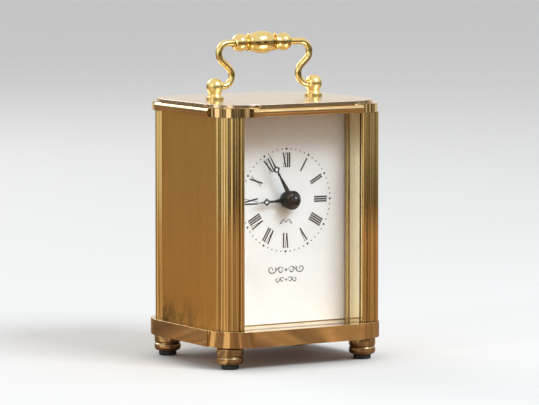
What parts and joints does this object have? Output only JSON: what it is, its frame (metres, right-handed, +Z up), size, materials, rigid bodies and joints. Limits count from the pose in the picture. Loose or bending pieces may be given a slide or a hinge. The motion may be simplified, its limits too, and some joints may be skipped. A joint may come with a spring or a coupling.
{
  "type": "carriage clock",
  "caption": "Small brass carriage clock with reeded columns, a swinging carrying handle, a glazed front, a white Roman dial, a quartz movement and a hinged rear door.",
  "frame": {"origin": "centre of the clock's footprint on the surface that it stands on", "axes": "+Z up, -Y out of the dial towards the viewer, +X to the viewer's right"},
  "size_m": [0.084, 0.075, 0.1399],
  "materials": {
    "polished_brass": "polished, slightly coppery, with lacquer",
    "cap_brass": "satin",
    "column_brass": "polished, with vertical polishing lines",
    "brushed_brass": "brushed upright, with old lacquer",
    "mirror_brass": "mirror polished",
    "antique_brass": "darkened, satin on the edges",
    "foot_rubber": "matt black",
    "steel": "zinc plated",
    "handle_brass": "bright polished",
    "clear_glass": "clear polished plate",
    "carrier_brass": "plain rolled sheet",
    "dial_enamel": "white enamel, soft gloss",
    "dial_ink": "black printed ink",
    "movement_plastic": "black, fine moulded texture",
    "hand_black": "satin black",
    "hand_cap_black": "gloss black",
    "turned_brass": "turned",
    "gear_nylon": "moulded natural nylon",
    "magnet": "dark ferrite",
    "knob_plastic": "black, ribbed",
    "coil_copper": "enamelled copper wire",
    "circuit_green": "solder mask",
    "battery_jacket": "plain printed jacket",
    "nickel": "nickel plated",
    "door_brass": "brushed, lacquered"
  },
  "bodies": {
    "case": {"base_plate": "polished_brass", "top_plate": "polished_brass", "cap_plate": "cap_brass", "column_front_left": "column_brass", "column_front_right": "column_brass", "column_rear_left": "column_brass", "column_rear_right": "column_brass", "side_panel_left": "brushed_brass", "side_panel_right": "brushed_brass", "top_screws": "steel", "foot_front_left": "antique_brass", "foot_front_right": "antique_brass", "foot_rear_left": "antique_brass", "foot_rear_right": "antique_brass", "pad_front_left": "foot_rubber", "pad_front_right": "foot_rubber", "pad_rear_left": "foot_rubber", "pad_rear_right": "foot_rubber", "foot_screws": "steel", "handle_post_left": "handle_brass", "handle_post_right": "handle_brass", "post_nuts": "steel", "front_glass": "clear_glass", "liner_left": "mirror_brass", "liner_right": "mirror_brass", "dial_bead_left": "mirror_brass", "dial_bead_right": "mirror_brass", "dial_carrier": "carrier_brass", "dial_plate": "dial_enamel", "dial_numerals": "dial_ink", "dial_dots": "dial_ink", "movement_case": "movement_plastic", "movement_cover": "movement_plastic", "movement_screws": "steel", "train_plate": "gear_nylon", "stator": "steel", "coil": "coil_copper", "circuit_board": "circuit_green", "battery": "battery_jacket", "battery_contacts": "nickel"},
    "handle": {"handle_arm_left": "handle_brass", "handle_arm_right": "handle_brass", "handle_grip": "handle_brass"},
    "door": {"rear_door": "door_brass", "door_pins": "steel", "door_knob": "handle_brass"},
    "minute": {"minute_arbor": "turned_brass", "minute_hand": "hand_black", "hand_cap": "hand_cap_black"},
    "hour": {"hour_wheel": "gear_nylon", "hour_hand": "hand_black"},
    "setting": {"motion_wheel": "gear_nylon", "set_knob": "knob_plastic"},
    "centre": {"centre_wheel": "gear_nylon"},
    "third": {"third_wheel": "gear_nylon"},
    "fourth": {"fourth_wheel": "gear_nylon"},
    "fifth": {"fifth_wheel": "gear_nylon"},
    "rotor_body": {"rotor": "magnet"}
  },
  "joints": [
    {"name": "handle_swing", "type": "hinge", "parent": "case", "child": "handle", "pos_m": [0, 0, 0.1168], "axis": [1, 0, 0], "range_deg": [-84, 92]},
    {"name": "door_swing", "type": "hinge", "parent": "case", "child": "door", "pos_m": [-0.0272, 0.0274, 0.0612], "axis": [0, 0, 1], "range_deg": [0, 105]},
    {"name": "minute_turn", "type": "hinge", "parent": "case", "child": "minute", "pos_m": [0, -0.01, 0.0692], "axis": [0, 1, 0], "continuous": true},
    {"name": "hour_turn", "type": "hinge", "parent": "case", "child": "hour", "pos_m": [0, -0.01, 0.0692], "axis": [0, 1, 0], "continuous": true},
    {"name": "setting_turn", "type": "hinge", "parent": "case", "child": "setting", "pos_m": [0, -0.01, 0.0772], "axis": [0, 1, 0], "continuous": true},
    {"name": "rotor_turn", "type": "hinge", "parent": "case", "child": "rotor_body", "pos_m": [0.01099, -0.01, 0.0732], "axis": [0, 1, 0], "continuous": true},
    {"name": "fifth_turn", "type": "hinge", "parent": "case", "child": "fifth", "pos_m": [0.00592, -0.01, 0.07136], "axis": [0, 1, 0], "continuous": true},
    {"name": "fourth_turn", "type": "hinge", "parent": "case", "child": "fourth", "pos_m": [0, -0.01, 0.0692], "axis": [0, 1, 0], "continuous": true},
    {"name": "third_turn", "type": "hinge", "parent": "case", "child": "third", "pos_m": [-0.00719, -0.01, 0.06658], "axis": [0, 1, 0], "continuous": true},
    {"name": "centre_turn", "type": "hinge", "parent": "case", "child": "centre", "pos_m": [0, -0.01, 0.0692], "axis": [0, 1, 0], "continuous": true}
  ],
  "couplings": [
    {"joint": "hour_turn", "follows": "minute_turn", "ratio": 0.083333},
    {"joint": "setting_turn", "follows": "minute_turn", "ratio": -0.33333},
    {"joint": "fifth_turn", "follows": "rotor_turn", "ratio": -0.2},
    {"joint": "fourth_turn", "follows": "rotor_turn", "ratio": 0.033333},
    {"joint": "third_turn", "follows": "rotor_turn", "ratio": -0.0041667},
    {"joint": "centre_turn", "follows": "rotor_turn", "ratio": 0.00055556}
  ]
}
